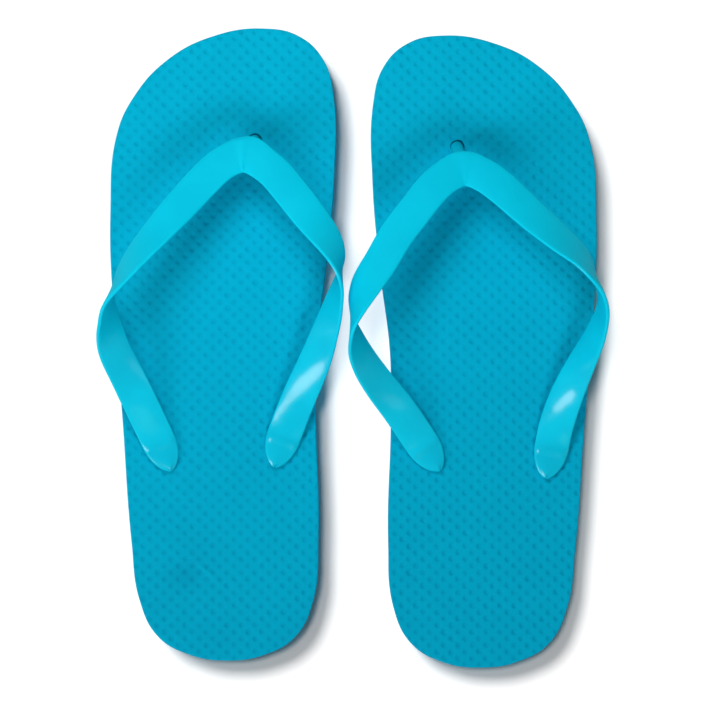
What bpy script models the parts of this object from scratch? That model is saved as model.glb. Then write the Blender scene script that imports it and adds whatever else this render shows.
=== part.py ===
"""A pair of flip flops: each has a two-layer foam sole, a moulded Y strap and three plugs."""

import math

import bmesh
import bpy
from mathutils import Vector

MM = 0.001

# The sole, in millimetres. Toes point to +Y, the floor is Z = 0 and the pair's middle is X = 0.
OUTSOLE_TOP = 10.0
LAYER_GAP = 0.3
SOLE_TOP = 15.0
EDGE_ROUNDING = 0.5
FLEX_Y = 45.0
FLEX_GAP = 0.3
SOLE_STAGGER = 1.45

# The left sole's outline, from the tip of the toe down the inner side and round the heel.
SOLE_OUTLINE = [
    (-36.5, 130.0),
    (-22.0, 126.6),
    (-12.3, 117.0),
    (-8.1, 102.0),
    (-7.8, 72.0),
    (-11.1, 33.0),
    (-15.1, 0.0),
    (-15.5, -28.0),
    (-14.4, -80.0),
    (-16.4, -105.0),
    (-23.7, -120.0),
    (-36.5, -127.6),
    (-53.0, -130.0),
    (-68.5, -127.2),
    (-80.5, -120.0),
    (-88.0, -105.0),
    (-91.2, -82.0),
    (-95.2, -28.0),
    (-98.8, 15.0),
    (-100.0, 54.0),
    (-97.2, 87.0),
    (-90.3, 102.0),
    (-76.8, 116.9),
    (-58.5, 126.6),
]
OUTLINE_STEPS = 4

# The strap's ribbon. A roll of 0 has its outer face up, and 180 has its foot side up.
STRAP_HALF_WIDTH = 7.1
STRAP_HALF_THICKNESS = 1.2
STRAP_CROWN = 0.3
STRAP_EDGE = 0.8
TONGUE_LENGTH = 10.5
TONGUE_POINT = 0.6
TONGUE_TIP_WIDTH = 0.12
STATION_STEPS = 4
TONGUE_HEIGHT = 2.0

# Stations along each strap, from the outer tongue over the toe post to the inner tongue:
# X, Y, height above the footbed and roll in degrees.
LEFT_STRAP = [
    (-74.7, -50.5, TONGUE_HEIGHT, 180),
    (-78.4, -41.9, TONGUE_HEIGHT, 180),
    (-84.0, -29.5, 4.2, 178),
    (-91.4, -13.0, 11.5, 167),
    (-97.3, 0.7, 21.0, 150),
    (-98.9, 11.2, 28.0, 121),
    (-98.4, 18.0, 32.5, 98),
    (-92.7, 28.5, 35.0, 64),
    (-85.2, 38.7, 34.5, 45),
    (-75.9, 49.6, 32.0, 29),
    (-67.9, 58.8, 29.0, 15),
    (-60.2, 67.4, 26.0, 12),
    (-53.0, 74.3, 23.5, 13),
    (-44.0, 77.8, 22.0, 14),
    (-33.6, 72.3, 24.5, 13),
    (-26.1, 63.9, 27.5, 12),
    (-18.8, 54.6, 30.5, 15),
    (-9.8, 42.5, 33.5, 40),
    (-6.8, 36.3, 34.0, 60),
    (-5.5, 31.0, 33.5, 82),
    (-5.5, 26.0, 31.5, 103),
    (-7.4, 18.4, 27.0, 122),
    (-11.1, 6.8, 20.0, 140),
    (-15.6, -5.3, 13.5, 157),
    (-22.9, -21.7, 6.0, 172),
    (-29.1, -37.8, TONGUE_HEIGHT, 180),
    (-32.6, -49.0, TONGUE_HEIGHT, 180),
]
RIGHT_STRAP = [
    (78.8, -53.6, TONGUE_HEIGHT, 180),
    (80.7, -44.4, TONGUE_HEIGHT, 180),
    (83.1, -32.0, 3.6, 176),
    (87.3, -19.0, 8.0, 161),
    (92.6, -6.8, 15.0, 141),
    (98.3, 6.0, 23.5, 121),
    (100.5, 15.2, 29.0, 104),
    (99.4, 22.3, 32.5, 92),
    (95.9, 28.7, 34.5, 77),
    (91.3, 35.9, 34.5, 55),
    (82.4, 43.9, 32.5, 38),
    (71.0, 54.0, 29.0, 25),
    (59.4, 64.8, 25.5, 14),
    (52.0, 70.1, 23.5, 13),
    (45.3, 72.3, 22.0, 14),
    (38.8, 70.1, 23.5, 13),
    (32.4, 64.8, 25.5, 12),
    (24.7, 55.1, 28.5, 12),
    (16.9, 44.7, 31.5, 13),
    (11.1, 34.6, 34.0, 18),
    (5.3, 25.4, 36.0, 30),
    (1.5, 16.9, 35.0, 58),
    (-0.2, 9.2, 32.0, 90),
    (0.9, 2.1, 27.5, 121),
    (4.4, -5.7, 22.0, 142),
    (10.9, -15.3, 15.0, 157),
    (18.8, -25.4, 8.0, 170),
    (29.4, -41.0, TONGUE_HEIGHT, 180),
    (35.7, -50.3, TONGUE_HEIGHT, 180),
]

# The plugs, and the toe post that leans to meet the strap.
STEM_RADIUS = 2.55
STEM_TOP = 15.15
STEM_HOLE_RADIUS = 3.2
DISC_RADIUS = 8.5
DISC_BOTTOM = 1.0
DISC_TOP = 4.0
DISC_ROUNDING = 0.5
RECESS_RADIUS = 9.0
RECESS_DEPTH = 4.3
STEM_FILLET = 0.8
PLUG_STEPS = 24
POST_RINGS = 4
POST_HEIGHT = 19.5
POST_TOP_TILT = 14.0
LEFT_TOE_HOLE = (-40.4, 85.0)
LEFT_POST_TOP = (-42.6, 81.4)
RIGHT_TOE_HOLE = (42.8, 82.1)
RIGHT_POST_TOP = (44.2, 76.4)

FOAM_COLOUR = (0.001, 0.355, 0.52, 1.0)
OUTSOLE_COLOUR = (0.001, 0.33, 0.485, 1.0)
STRAP_COLOUR = (0.002, 0.565, 0.76, 1.0)
PLUG_COLOUR = (0.002, 0.54, 0.73, 1.0)


def clear_scene():
    """Removes the start-up objects."""
    for thing in list(bpy.data.objects):
        bpy.data.objects.remove(thing, do_unlink=True)


def new_collection(name):
    """Adds an empty collection to the scene."""
    collection = bpy.data.collections.new(name)
    bpy.context.scene.collection.children.link(collection)
    return collection


def new_material(name, colour, roughness):
    """Makes a plain Principled material."""
    material = bpy.data.materials.new(name)
    material.use_nodes = True
    shader = material.node_tree.nodes["Principled BSDF"]
    shader.inputs["Base Color"].default_value = colour
    shader.inputs["Roughness"].default_value = roughness
    shader.inputs["Metallic"].default_value = 0.0
    material.diffuse_color = colour
    return material


def foam_material(name):
    """Matte foam of the footbed."""
    return new_material(name, FOAM_COLOUR, 0.85)


def outsole_material(name):
    """Matte foam of the layer underneath."""
    return new_material(name, OUTSOLE_COLOUR, 0.9)


def strap_material(name):
    """Soft glossy moulding of the strap."""
    return new_material(name, STRAP_COLOUR, 0.38)


def plug_material(name):
    """The same moulding, on the plugs."""
    return new_material(name, PLUG_COLOUR, 0.45)


def add_object(name, mesh, collection, material=None):
    """Puts a mesh into a collection as an object."""
    thing = bpy.data.objects.new(name, mesh)
    collection.objects.link(thing)
    if material:
        thing.data.materials.append(material)
    return thing


def add_cutter(name, mesh, cutters):
    """Adds a hidden object that Booleans cut with."""
    cutter = add_object(name, mesh, cutters)
    cutter.hide_render = True
    cutter.display_type = "WIRE"
    return cutter


def cut(thing, cutter):
    """Subtracts one object from another."""
    modifier = thing.modifiers.new(cutter.name, "BOOLEAN")
    modifier.operation = "DIFFERENCE"
    modifier.solver = "EXACT"
    modifier.object = cutter


def sole_side(side):
    """Gives +1 for the left sandal, as drawn, and -1 for its mirror image."""
    return 1 if side == "left" else -1


def outline_curve(name, side):
    """Draws a sole's outline as a smooth closed curve."""
    curve = bpy.data.curves.new(name, "CURVE")
    curve.dimensions = "2D"
    curve.fill_mode = "BOTH"
    curve.resolution_u = OUTLINE_STEPS
    spline = curve.splines.new("BEZIER")
    spline.bezier_points.add(len(SOLE_OUTLINE) - 1)
    spline.use_cyclic_u = True
    mirror = sole_side(side)
    for point, (x, y) in zip(spline.bezier_points, SOLE_OUTLINE):
        point.co = (mirror * x * MM, (y + mirror * SOLE_STAGGER) * MM, 0)
        point.handle_left_type = "AUTO"
        point.handle_right_type = "AUTO"
    return curve


def slab_mesh(name, side, bottom, top):
    """Extrudes the outline into one layer of the sole."""
    curve = outline_curve(name + "_outline", side)
    curve.extrude = (top - bottom) / 2 * MM
    holder = bpy.data.objects.new(name + "_outline", curve)
    bpy.context.scene.collection.objects.link(holder)
    bpy.context.view_layer.update()
    mesh = bpy.data.meshes.new_from_object(holder)
    bpy.data.objects.remove(holder, do_unlink=True)
    bm = bmesh.new()
    bm.from_mesh(mesh)
    bmesh.ops.remove_doubles(bm, verts=bm.verts, dist=0.01 * MM)
    bmesh.ops.translate(bm, verts=bm.verts, vec=(0, 0, (top + bottom) / 2 * MM))
    bmesh.ops.recalc_face_normals(bm, faces=bm.faces)
    bm.to_mesh(mesh)
    bm.free()
    return mesh


def half_space_cutter(name, side, end, cutters):
    """Makes a box that covers everything on the other side of the flex gap."""
    reach = 400.0
    sign = -1 if end == "front" else 1
    flex_y = FLEX_Y + sole_side(side) * SOLE_STAGGER
    near = flex_y - sign * FLEX_GAP / 2
    mesh = bpy.data.meshes.new(name)
    bm = bmesh.new()
    bmesh.ops.create_cube(bm, size=reach * MM)
    bmesh.ops.translate(bm, verts=bm.verts, vec=(0, (near + sign * reach / 2) * MM, 0))
    bm.to_mesh(mesh)
    bm.free()
    return add_cutter(name, mesh, cutters)


def hole_cutter(name, centre, radius, bottom, top, cutters):
    """Makes an upright round cutter."""
    mesh = bpy.data.meshes.new(name)
    bm = bmesh.new()
    depth = (top - bottom) * MM
    bmesh.ops.create_cone(
        bm, cap_ends=True, segments=PLUG_STEPS, radius1=radius * MM, radius2=radius * MM, depth=depth
    )
    middle = (centre[0] * MM, centre[1] * MM, (top + bottom) / 2 * MM)
    bmesh.ops.translate(bm, verts=bm.verts, vec=middle)
    bm.to_mesh(mesh)
    bm.free()
    return add_cutter(name, mesh, cutters)


def round_edges(thing):
    """Rounds the top and bottom edges of a layer a little."""
    bevel = thing.modifiers.new("rounded_edges", "BEVEL")
    bevel.width = EDGE_ROUNDING * MM
    bevel.segments = 2
    bevel.limit_method = "ANGLE"
    bevel.angle_limit = math.radians(50)


def sole_piece(side, layer, end, bottom, top, material, collection, cutters):
    """Builds one end of one layer, without its holes."""
    name = side + "_" + layer + "_" + end
    thing = add_object(name, slab_mesh(name, side, bottom, top), collection, material(name))
    round_edges(thing)
    cut(thing, half_space_cutter(name + "_flex_cut", side, end, cutters))
    return thing


def ribbon_section():
    """Gives the strap's cross-section as points across and through the ribbon, 1 wide each way."""
    thick = STRAP_HALF_THICKNESS
    edge = STRAP_EDGE
    crown = thick + STRAP_CROWN
    shoulder = 0.93
    return [
        (-1.0, 0.0),
        (-shoulder, edge),
        (-0.5, thick),
        (0.0, crown),
        (0.5, thick),
        (shoulder, edge),
        (1.0, 0.0),
        (shoulder, -edge),
        (0.0, -thick),
        (-shoulder, -edge),
    ]


def catmull_rom(before, start, end, after, part):
    """Finds a place on a smooth centripetal curve between two stations."""
    points = [before, start, end, after]
    knots = [0.0]
    for first, second in zip(points, points[1:]):
        gap = math.dist(first[:3], second[:3])
        knots.append(knots[-1] + math.sqrt(gap))
    place = knots[1] + (knots[2] - knots[1]) * part

    def blend(low, high, low_knot, high_knot):
        weight = (place - low_knot) / (high_knot - low_knot)
        return [a + (b - a) * weight for a, b in zip(low, high)]

    first = blend(points[0], points[1], knots[0], knots[1])
    second = blend(points[1], points[2], knots[1], knots[2])
    third = blend(points[2], points[3], knots[2], knots[3])
    fourth = blend(first, second, knots[0], knots[2])
    fifth = blend(second, third, knots[1], knots[3])
    return blend(fourth, fifth, knots[1], knots[2])


def smooth_path(stations):
    """Runs a smooth path through the strap's stations."""
    first = [2 * a - b for a, b in zip(stations[0], stations[1])]
    last = [2 * a - b for a, b in zip(stations[-1], stations[-2])]
    padded = [first] + [list(station) for station in stations] + [last]
    path = []
    for index in range(1, len(padded) - 2):
        for step in range(STATION_STEPS):
            part = step / STATION_STEPS
            path.append(catmull_rom(*padded[index - 1:index + 3], part))
    path.append(padded[-2])
    return path


def path_lengths(path):
    """Measures how far along the path each place is."""
    lengths = [0.0]
    for first, second in zip(path, path[1:]):
        lengths.append(lengths[-1] + math.dist(first[:3], second[:3]))
    return lengths


def tongue_width(distance):
    """Gives the ribbon's share of its full width at a distance from a tongue's tip."""
    if distance >= TONGUE_LENGTH:
        return 1.0
    share = 1 - distance / TONGUE_LENGTH
    return max(TONGUE_TIP_WIDTH, (1 - share * share) ** TONGUE_POINT)


def ribbon_frame(path, index, across_sign):
    """Finds the ribbon's directions across its width and out of its outer face."""
    ahead = Vector(path[min(index + 1, len(path) - 1)][:3])
    behind = Vector(path[max(index - 1, 0)][:3])
    along = (ahead - behind).normalized()
    level = along.cross(Vector((0, 0, 1))).normalized() * across_sign
    upward = level.cross(along).normalized()
    if upward.z < 0:
        upward.negate()
    roll = math.radians(path[index][3])
    across = level * math.cos(roll) + upward * math.sin(roll)
    outward = upward * math.cos(roll) - level * math.sin(roll)
    return across, outward


def strap(name, side, stations, collection):
    """Lofts the ribbon from tongue to tongue over the toe post."""
    across_sign = sole_side(side)
    path = smooth_path(stations)
    lengths = path_lengths(path)
    mesh = bpy.data.meshes.new(name)
    bm = bmesh.new()
    rings = []
    for index, place in enumerate(path):
        across, outward = ribbon_frame(path, index, across_sign)
        from_tip = min(lengths[index], lengths[-1] - lengths[index])
        half_width = STRAP_HALF_WIDTH * tongue_width(from_tip)
        centre = Vector((place[0], place[1], SOLE_TOP + place[2]))
        ring = []
        for width_share, through in ribbon_section():
            point = centre + across * half_width * width_share + outward * through
            ring.append(bm.verts.new(point * MM))
        rings.append(ring)
    count = len(rings[0])
    for first, second in zip(rings, rings[1:]):
        for corner in range(count):
            following = (corner + 1) % count
            quad = (first[corner], first[following], second[following], second[corner])
            bm.faces.new(quad)
    bm.faces.new(rings[0])
    bm.faces.new(rings[-1])
    bmesh.ops.recalc_face_normals(bm, faces=bm.faces)
    bm.to_mesh(mesh)
    bm.free()
    mesh.shade_smooth()
    return add_object(name, mesh, collection, strap_material(name))


def plug_profile(stem_heights):
    """Gives the plug's outline as radius and height, from the top of its stem to its base."""
    profile = [(0.0, stem_heights[0])]
    for height in stem_heights:
        profile.append((STEM_RADIUS, height))
    profile += [
        (STEM_RADIUS, DISC_TOP + STEM_FILLET),
        (STEM_RADIUS + STEM_FILLET, DISC_TOP),
        (DISC_RADIUS - DISC_ROUNDING, DISC_TOP),
        (DISC_RADIUS, DISC_TOP - DISC_ROUNDING),
        (DISC_RADIUS, DISC_BOTTOM + DISC_ROUNDING),
        (DISC_RADIUS - DISC_ROUNDING, DISC_BOTTOM),
        (0.0, DISC_BOTTOM),
    ]
    return profile


def turned_mesh(name, profile):
    """Turns an outline round the upright axis with a Screw modifier."""
    outline = bpy.data.meshes.new(name + "_outline")
    corners = [(radius * MM, 0, height * MM) for radius, height in profile]
    edges = [(index, index + 1) for index in range(len(corners) - 1)]
    outline.from_pydata(corners, edges, [])
    holder = bpy.data.objects.new(name + "_outline", outline)
    bpy.context.scene.collection.objects.link(holder)
    screw = holder.modifiers.new("turn", "SCREW")
    screw.steps = PLUG_STEPS
    screw.render_steps = PLUG_STEPS
    screw.use_merge_vertices = True
    screw.merge_threshold = 0.01 * MM
    bpy.context.view_layer.update()
    evaluated = holder.evaluated_get(bpy.context.evaluated_depsgraph_get())
    mesh = bpy.data.meshes.new_from_object(evaluated)
    bpy.data.objects.remove(holder, do_unlink=True)
    mesh.name = name
    return mesh


def plug(name, centre, stem_heights, collection):
    """Builds a plug and stands it on its own upright axis."""
    mesh = turned_mesh(name, plug_profile(stem_heights))
    mesh.shade_smooth()
    thing = add_object(name, mesh, collection, plug_material(name))
    thing.location = (centre[0] * MM, centre[1] * MM, 0)
    return thing


def toe_post(name, hole, top, collection):
    """Builds the toe post: a plug whose stem leans over and meets the strap's sloping underside."""
    heights = [SOLE_TOP + POST_HEIGHT * (POST_RINGS - ring) / POST_RINGS for ring in range(POST_RINGS + 1)]
    post = plug(name, hole, heights, collection)
    lean_x = (top[0] - hole[0]) * MM
    lean_y = (top[1] - hole[1]) * MM
    tilt = math.tan(math.radians(POST_TOP_TILT))
    for vertex in post.data.vertices:
        share = (vertex.co.z / MM - SOLE_TOP) / POST_HEIGHT
        if share <= 0:
            continue
        vertex.co.z -= vertex.co.y * tilt * max(0.0, share * 2 - 1)
        vertex.co.x += lean_x * share
        vertex.co.y += lean_y * share
    return post


def axis_empty(name, place, pieces, collection):
    """Puts an empty on a joint's axis and hangs the joint's moving pieces on it."""
    axis = bpy.data.objects.new(name, None)
    collection.objects.link(axis)
    axis.location = Vector(place) * MM
    for piece in pieces:
        piece.parent = axis
        piece.location -= axis.location


def build_sandal(side, stations, hole, post_top, collection, cutters):
    """Builds one sandal: its soles with their holes, its strap, its plugs and its flex axis."""
    outer_plug = stations[1][:2]
    inner_plug = stations[-2][:2]
    plugs = {"toe": hole, "outer": outer_plug, "inner": inner_plug}
    drills = {}
    recesses = {}
    for place, centre in plugs.items():
        label = side + "_" + place
        drills[place] = hole_cutter(
            label + "_hole", centre, STEM_HOLE_RADIUS, -1.0, SOLE_TOP + 1.0, cutters
        )
        recesses[place] = hole_cutter(label + "_recess", centre, RECESS_RADIUS, -1.0, RECESS_DEPTH, cutters)
    moving = []
    holes = {"front": ["toe"], "rear": ["outer", "inner"]}
    for end, places in holes.items():
        footbed = sole_piece(
            side, "footbed", end, OUTSOLE_TOP + LAYER_GAP, SOLE_TOP, foam_material, collection, cutters
        )
        outsole = sole_piece(side, "outsole", end, 0.0, OUTSOLE_TOP, outsole_material, collection, cutters)
        for place in places:
            cut(footbed, drills[place])
            cut(outsole, drills[place])
            cut(outsole, recesses[place])
        if end == "front":
            moving += [footbed, outsole]
    moving.append(toe_post(side + "_toe_post", hole, post_top, collection))
    strap(side + "_strap", side, stations, collection)
    plug(side + "_outer_plug", outer_plug, [STEM_TOP], collection)
    plug(side + "_inner_plug", inner_plug, [STEM_TOP], collection)
    flex_y = FLEX_Y + sole_side(side) * SOLE_STAGGER
    axis_empty(side + "_flex_axis", (0.0, flex_y, SOLE_TOP), moving, collection)


def build_pair():
    """Builds both sandals."""
    clear_scene()
    collection = new_collection("flip_flop_pair")
    cutters = new_collection("cutters")
    build_sandal("left", LEFT_STRAP, LEFT_TOE_HOLE, LEFT_POST_TOP, collection, cutters)
    build_sandal("right", RIGHT_STRAP, RIGHT_TOE_HOLE, RIGHT_POST_TOP, collection, cutters)


build_pair()
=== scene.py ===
"""Looks of a pair of flip flops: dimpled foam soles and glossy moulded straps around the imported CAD."""

import math

import bmesh
import bpy
import numpy as np
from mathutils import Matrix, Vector
from mathutils.geometry import delaunay_2d_cdt


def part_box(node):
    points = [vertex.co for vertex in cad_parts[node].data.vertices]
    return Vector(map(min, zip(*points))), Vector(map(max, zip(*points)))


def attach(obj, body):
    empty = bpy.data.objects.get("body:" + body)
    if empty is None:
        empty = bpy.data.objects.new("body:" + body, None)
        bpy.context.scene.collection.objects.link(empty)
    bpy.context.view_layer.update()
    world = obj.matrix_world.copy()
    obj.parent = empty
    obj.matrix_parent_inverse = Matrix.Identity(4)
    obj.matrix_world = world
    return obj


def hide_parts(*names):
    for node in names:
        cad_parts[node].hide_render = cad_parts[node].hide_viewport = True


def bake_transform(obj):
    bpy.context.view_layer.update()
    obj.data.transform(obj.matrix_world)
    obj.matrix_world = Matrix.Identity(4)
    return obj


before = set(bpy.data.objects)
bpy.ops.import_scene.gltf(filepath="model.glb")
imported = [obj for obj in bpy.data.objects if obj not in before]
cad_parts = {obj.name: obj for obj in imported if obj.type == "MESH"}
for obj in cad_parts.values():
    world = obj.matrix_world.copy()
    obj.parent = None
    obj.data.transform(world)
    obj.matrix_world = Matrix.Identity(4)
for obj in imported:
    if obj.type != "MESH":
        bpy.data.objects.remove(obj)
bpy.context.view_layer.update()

MM = 0.001

# The sole's outline in millimetres, for the left sandal: from the toe's tip down the inner side.
# The right sandal is its mirror image. SOLE_STAGGER slides the left one forward and the right one back.
SOLE_STAGGER = 1.45
SOLE_OUTLINE = [
    (-36.5, 130.0),
    (-22.0, 126.6),
    (-12.3, 117.0),
    (-8.1, 102.0),
    (-7.8, 72.0),
    (-11.1, 33.0),
    (-15.1, 0.0),
    (-15.5, -28.0),
    (-14.4, -80.0),
    (-16.4, -105.0),
    (-23.7, -120.0),
    (-36.5, -127.6),
    (-53.0, -130.0),
    (-68.5, -127.2),
    (-80.5, -120.0),
    (-88.0, -105.0),
    (-91.2, -82.0),
    (-95.2, -28.0),
    (-98.8, 15.0),
    (-100.0, 54.0),
    (-97.2, 87.0),
    (-90.3, 102.0),
    (-76.8, 116.9),
    (-58.5, 126.6),
]
CURVE_STEPS = 24
OUTLINE_SPACING = 0.7

# How many points at a time look for their nearest neighbour, which keeps the memory small.
SEARCH_BATCH = 4000

# The edges, holes and plain inner faces of a foam sheet.
# EDGE_GAP keeps a face's points off its edge and its holes.
EDGE_ROUNDING = 0.6
ROUNDING_STEPS = 4
WALL_SPACING = 0.9
HIDDEN_SPACING = 4.0
EDGE_GAP = 0.3
MERGE_DISTANCE = 1e-6
HOLE_STEPS = 40

# A hole's lip, from the sheet's face down: how much wider the hole is, and how deep.
HOLE_LIP = ((0.35, 0.0), (0.105, 0.63), (0.0, 1.12))

# The footbed's dimples, which lie in staggered rows. DIMPLE_FLOOR and DIMPLE_RIM are radii. DIMPLE_RINGS are
# the radius and the number of points of each ring in a dimple. The saddle is the low place round its rim.
DIMPLE_PITCH = 5.755
DIMPLE_ROW = 2.713
DIMPLE_DEPTH = 0.6
DIMPLE_DEPTH_SPREAD = (0.6, 1.15)
DIMPLE_FLOOR = 0.25
DIMPLE_RIM = 1.75
DIMPLE_RINGS = ((0.5, 6), (0.95, 8), (1.35, 10), (1.75, 12))
DIMPLE_JITTER = 0.16
PLACE_SEED = 7
DEPTH_SEED = 11
SADDLE_DEPTH = 0.12
SADDLE_STEP = 0.35
SADDLE_REACH = 0.8

# Worn places on each footbed: centre, half length, half width, direction in degrees and depth.
# DENT_SHADE is how much painted shade a millimetre's dent gets; a raised crest, of negative depth, is painted
# paler.
# PLUG_PULL is how far the toe post pulls the foam down.
DENTS = {
    "left": [
        ((-68.1, -92.7), 6.5, 5.5, 0, 0.8),
        ((-60.7, -91.5), 5.0, 1.2, -38, -0.7),
        ((-19.5, 12.5), 3.0, 1.0, 55, 0.9),
        ((-20.5, 8.0), 2.5, 1.0, 60, 0.7),
    ],
    "right": [
        ((24.5, -92.5), 4.0, 3.0, 20, 0.35),
        ((38.0, 103.0), 5.0, 2.0, 30, 0.25),
    ],
}
DENT_SHADE = 1.1
PLUG_PULL = 0.5
PLUG_PULL_REACH = 6.0

# The tread under the outsole: shallow wavy grooves across it, which fade out near its edge and its recesses.
# The starts of the fades are in parts of TREAD_MARGIN.
TREAD_PITCH = 5.0
TREAD_WAVE = 14.0
TREAD_SWING = 1.5
TREAD_DEPTH = 0.6
GROOVE_FLOOR = 0.45
GROOVE_RIM = 0.9
TREAD_SPACING = 1.3
TREAD_MARGIN = 4.0
EDGE_FADE_START = 0.5
HOLE_FADE_START = 0.3

# The strap's ribbon. A roll of 0 has its outer face up, and 180 has its foot side up.
STRAP_HALF_WIDTH = 7.1
STRAP_HALF_THICKNESS = 0.8
STRAP_CROWN = 0.4
FOOT_SIDE_CROWN = 0.5
STRAP_EDGE = 0.75
STRAP_SPACING = 0.9
STRAP_SMOOTHING = 2.0
SMOOTHING_REACH = 3
PATH_STEPS = 16
FACE_POINTS = 11
EDGE_POINTS = 6
FOOT_SIDE_START = 0.45

# Where the arms meet: a low ridge across the outer face, which also gets a painted highlight, and a hub that
# widens towards the toe.
RIDGE_HEIGHT = {"left": 0.45, "right": 0.2}
RIDGE_WIDTH = 1.1
HUB_BULGE = {"left": 1.6, "right": 0.8}
HUB_REACH = 4.5

# The tongues: pointed, flattened ends with a low knee across the foot side, sunk into the foam at the tip.
TONGUE_LENGTH = 13.5
TONGUE_POINT = 0.6
TONGUE_TIP_WIDTH = 0.12
TONGUE_HEIGHT = 2.0
TONGUE_SINK = 0.55
TONGUE_EDGE = 1.6
FLAT_END_START = 0.5
KNEE_PLACE = 11.5
KNEE_WIDTH = 1.5
KNEE_HEIGHT = 0.5

# Stations along each strap, from the outer tongue over the toe post to the inner tongue:
# X, Y, height above the footbed and roll in degrees.
LEFT_STRAP = [
    (-74.7, -50.5, TONGUE_HEIGHT, 180),
    (-78.4, -41.9, TONGUE_HEIGHT, 180),
    (-84.0, -29.5, 4.2, 178),
    (-91.4, -13.0, 11.5, 167),
    (-97.3, 0.7, 21.0, 150),
    (-98.9, 11.2, 28.0, 121),
    (-98.4, 18.0, 32.5, 98),
    (-92.7, 28.5, 35.0, 64),
    (-85.2, 38.7, 34.5, 45),
    (-75.9, 49.6, 32.0, 29),
    (-67.9, 58.8, 29.0, 15),
    (-60.2, 67.4, 26.0, 12),
    (-53.0, 74.3, 23.5, 13),
    (-44.0, 77.8, 22.0, 14),
    (-33.6, 72.3, 24.5, 13),
    (-26.1, 63.9, 27.5, 12),
    (-18.8, 54.6, 30.5, 15),
    (-9.8, 42.5, 33.5, 40),
    (-6.8, 36.3, 34.0, 60),
    (-5.5, 31.0, 33.5, 82),
    (-5.5, 26.0, 31.5, 103),
    (-7.4, 18.4, 27.0, 122),
    (-11.1, 6.8, 20.0, 140),
    (-15.6, -5.3, 13.5, 157),
    (-22.9, -21.7, 6.0, 174),
    (-29.1, -37.8, TONGUE_HEIGHT, 180),
    (-32.6, -49.0, TONGUE_HEIGHT, 180),
]
RIGHT_STRAP = [
    (78.8, -53.6, TONGUE_HEIGHT, 180),
    (80.7, -44.4, TONGUE_HEIGHT, 180),
    (83.1, -32.0, 3.6, 173),
    (87.3, -19.0, 8.0, 157),
    (92.6, -6.8, 15.0, 139),
    (98.3, 6.0, 23.5, 121),
    (100.5, 15.2, 29.0, 104),
    (99.4, 22.3, 32.5, 92),
    (95.9, 28.7, 34.5, 77),
    (91.3, 35.9, 34.5, 55),
    (82.4, 43.9, 32.5, 38),
    (71.0, 54.0, 29.0, 25),
    (59.4, 64.8, 25.5, 14),
    (52.0, 70.1, 23.5, 13),
    (45.3, 72.3, 22.0, 14),
    (38.8, 70.1, 23.5, 13),
    (32.4, 64.8, 25.5, 12),
    (24.7, 55.1, 28.5, 12),
    (16.9, 44.7, 31.5, 13),
    (11.1, 34.6, 34.0, 18),
    (5.3, 25.4, 36.0, 30),
    (1.5, 16.9, 35.0, 58),
    (-0.2, 9.2, 32.0, 90),
    (0.9, 2.1, 27.5, 121),
    (4.4, -5.7, 22.0, 142),
    (10.9, -15.3, 15.0, 157),
    (18.8, -25.4, 8.0, 170),
    (29.4, -41.0, TONGUE_HEIGHT, 180),
    (35.7, -50.3, TONGUE_HEIGHT, 180),
]

STRAPS = {"left": LEFT_STRAP, "right": RIGHT_STRAP}

# The plugs' stems and discs, and the outsole's recesses for the discs.
STEM_RADIUS = 2.55
STEM_BEVEL = 0.3
STEM_HOLE_RADIUS = 3.2
DISC_RADIUS = 8.5
DISC_BOTTOM = 1.0
DISC_TOP = 4.0
RECESS_RADIUS = 9.0
RECESS_DEPTH = 4.3
RECESS_BEVEL = 0.3
RECESS_MIDDLE = 0.6
TURN_STEPS = 64

# The toe post, which leans over to meet the strap and widens at its top over one part in POST_FLARE_PARTS.
# TOE_POST_SHIFT is how far it stands off its hole's centre.
TOE_HOLES = {"left": (-40.5, 85.4), "right": (42.8, 82.7)}
POST_TOPS = {"left": (-42.6, 81.4), "right": (43.4, 76.4)}
POST_HEIGHT = 19.5
POST_STEPS = 24
POST_TOP_TILT = 14.0
POST_FLARE = 0.9
POST_FLARE_PARTS = 8
TOE_HOLE_RADIUS = 2.85
TOE_POST_SHIFT = (-0.15, -0.25)

# The retaining disc below the stem: the stem's fillet, the disc's rounded edges and a moulded ring under it.
DISC_PROFILE = (
    (STEM_RADIUS, DISC_TOP + 0.9),
    (STEM_RADIUS + 0.25, DISC_TOP + 0.35),
    (STEM_RADIUS + 0.9, DISC_TOP),
    (DISC_RADIUS - 0.6, DISC_TOP),
    (DISC_RADIUS - 0.18, DISC_TOP - 0.18),
    (DISC_RADIUS, DISC_TOP - 0.6),
    (DISC_RADIUS, DISC_BOTTOM + 0.6),
    (DISC_RADIUS - 0.18, DISC_BOTTOM + 0.18),
    (DISC_RADIUS - 0.6, DISC_BOTTOM),
    (DISC_RADIUS - 1.6, DISC_BOTTOM),
    (DISC_RADIUS - 1.9, DISC_BOTTOM + 0.3),
    (DISC_RADIUS - 2.4, DISC_BOTTOM + 0.3),
    (DISC_RADIUS - 2.7, DISC_BOTTOM),
    (1.0, DISC_BOTTOM),
    (0.0, DISC_BOTTOM),
)

# The materials' colours.
FOAM_LIGHT = (0.001, 0.43, 0.64, 1.0)
FOAM_DARK = (0.001, 0.27, 0.44, 1.0)
OUTSOLE_LIGHT = (0.001, 0.38, 0.58, 1.0)
OUTSOLE_DARK = (0.001, 0.25, 0.40, 1.0)
STRAP_LIGHT = (0.002, 0.58, 0.79, 1.0)
STRAP_DARK = (0.001, 0.51, 0.71, 1.0)
FOOT_SIDE_LIGHT = (0.002, 0.59, 0.80, 1.0)
FOOT_SIDE_DARK = (0.001, 0.46, 0.66, 1.0)

# The mouldings' specular level, roughness and depth of grain in millimetres.
SATIN = (0.03, 0.5, 0.05)
GLOSSY = (0.33, 0.16, 0.003)
ROUGHNESS_SPREAD = 0.04

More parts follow.
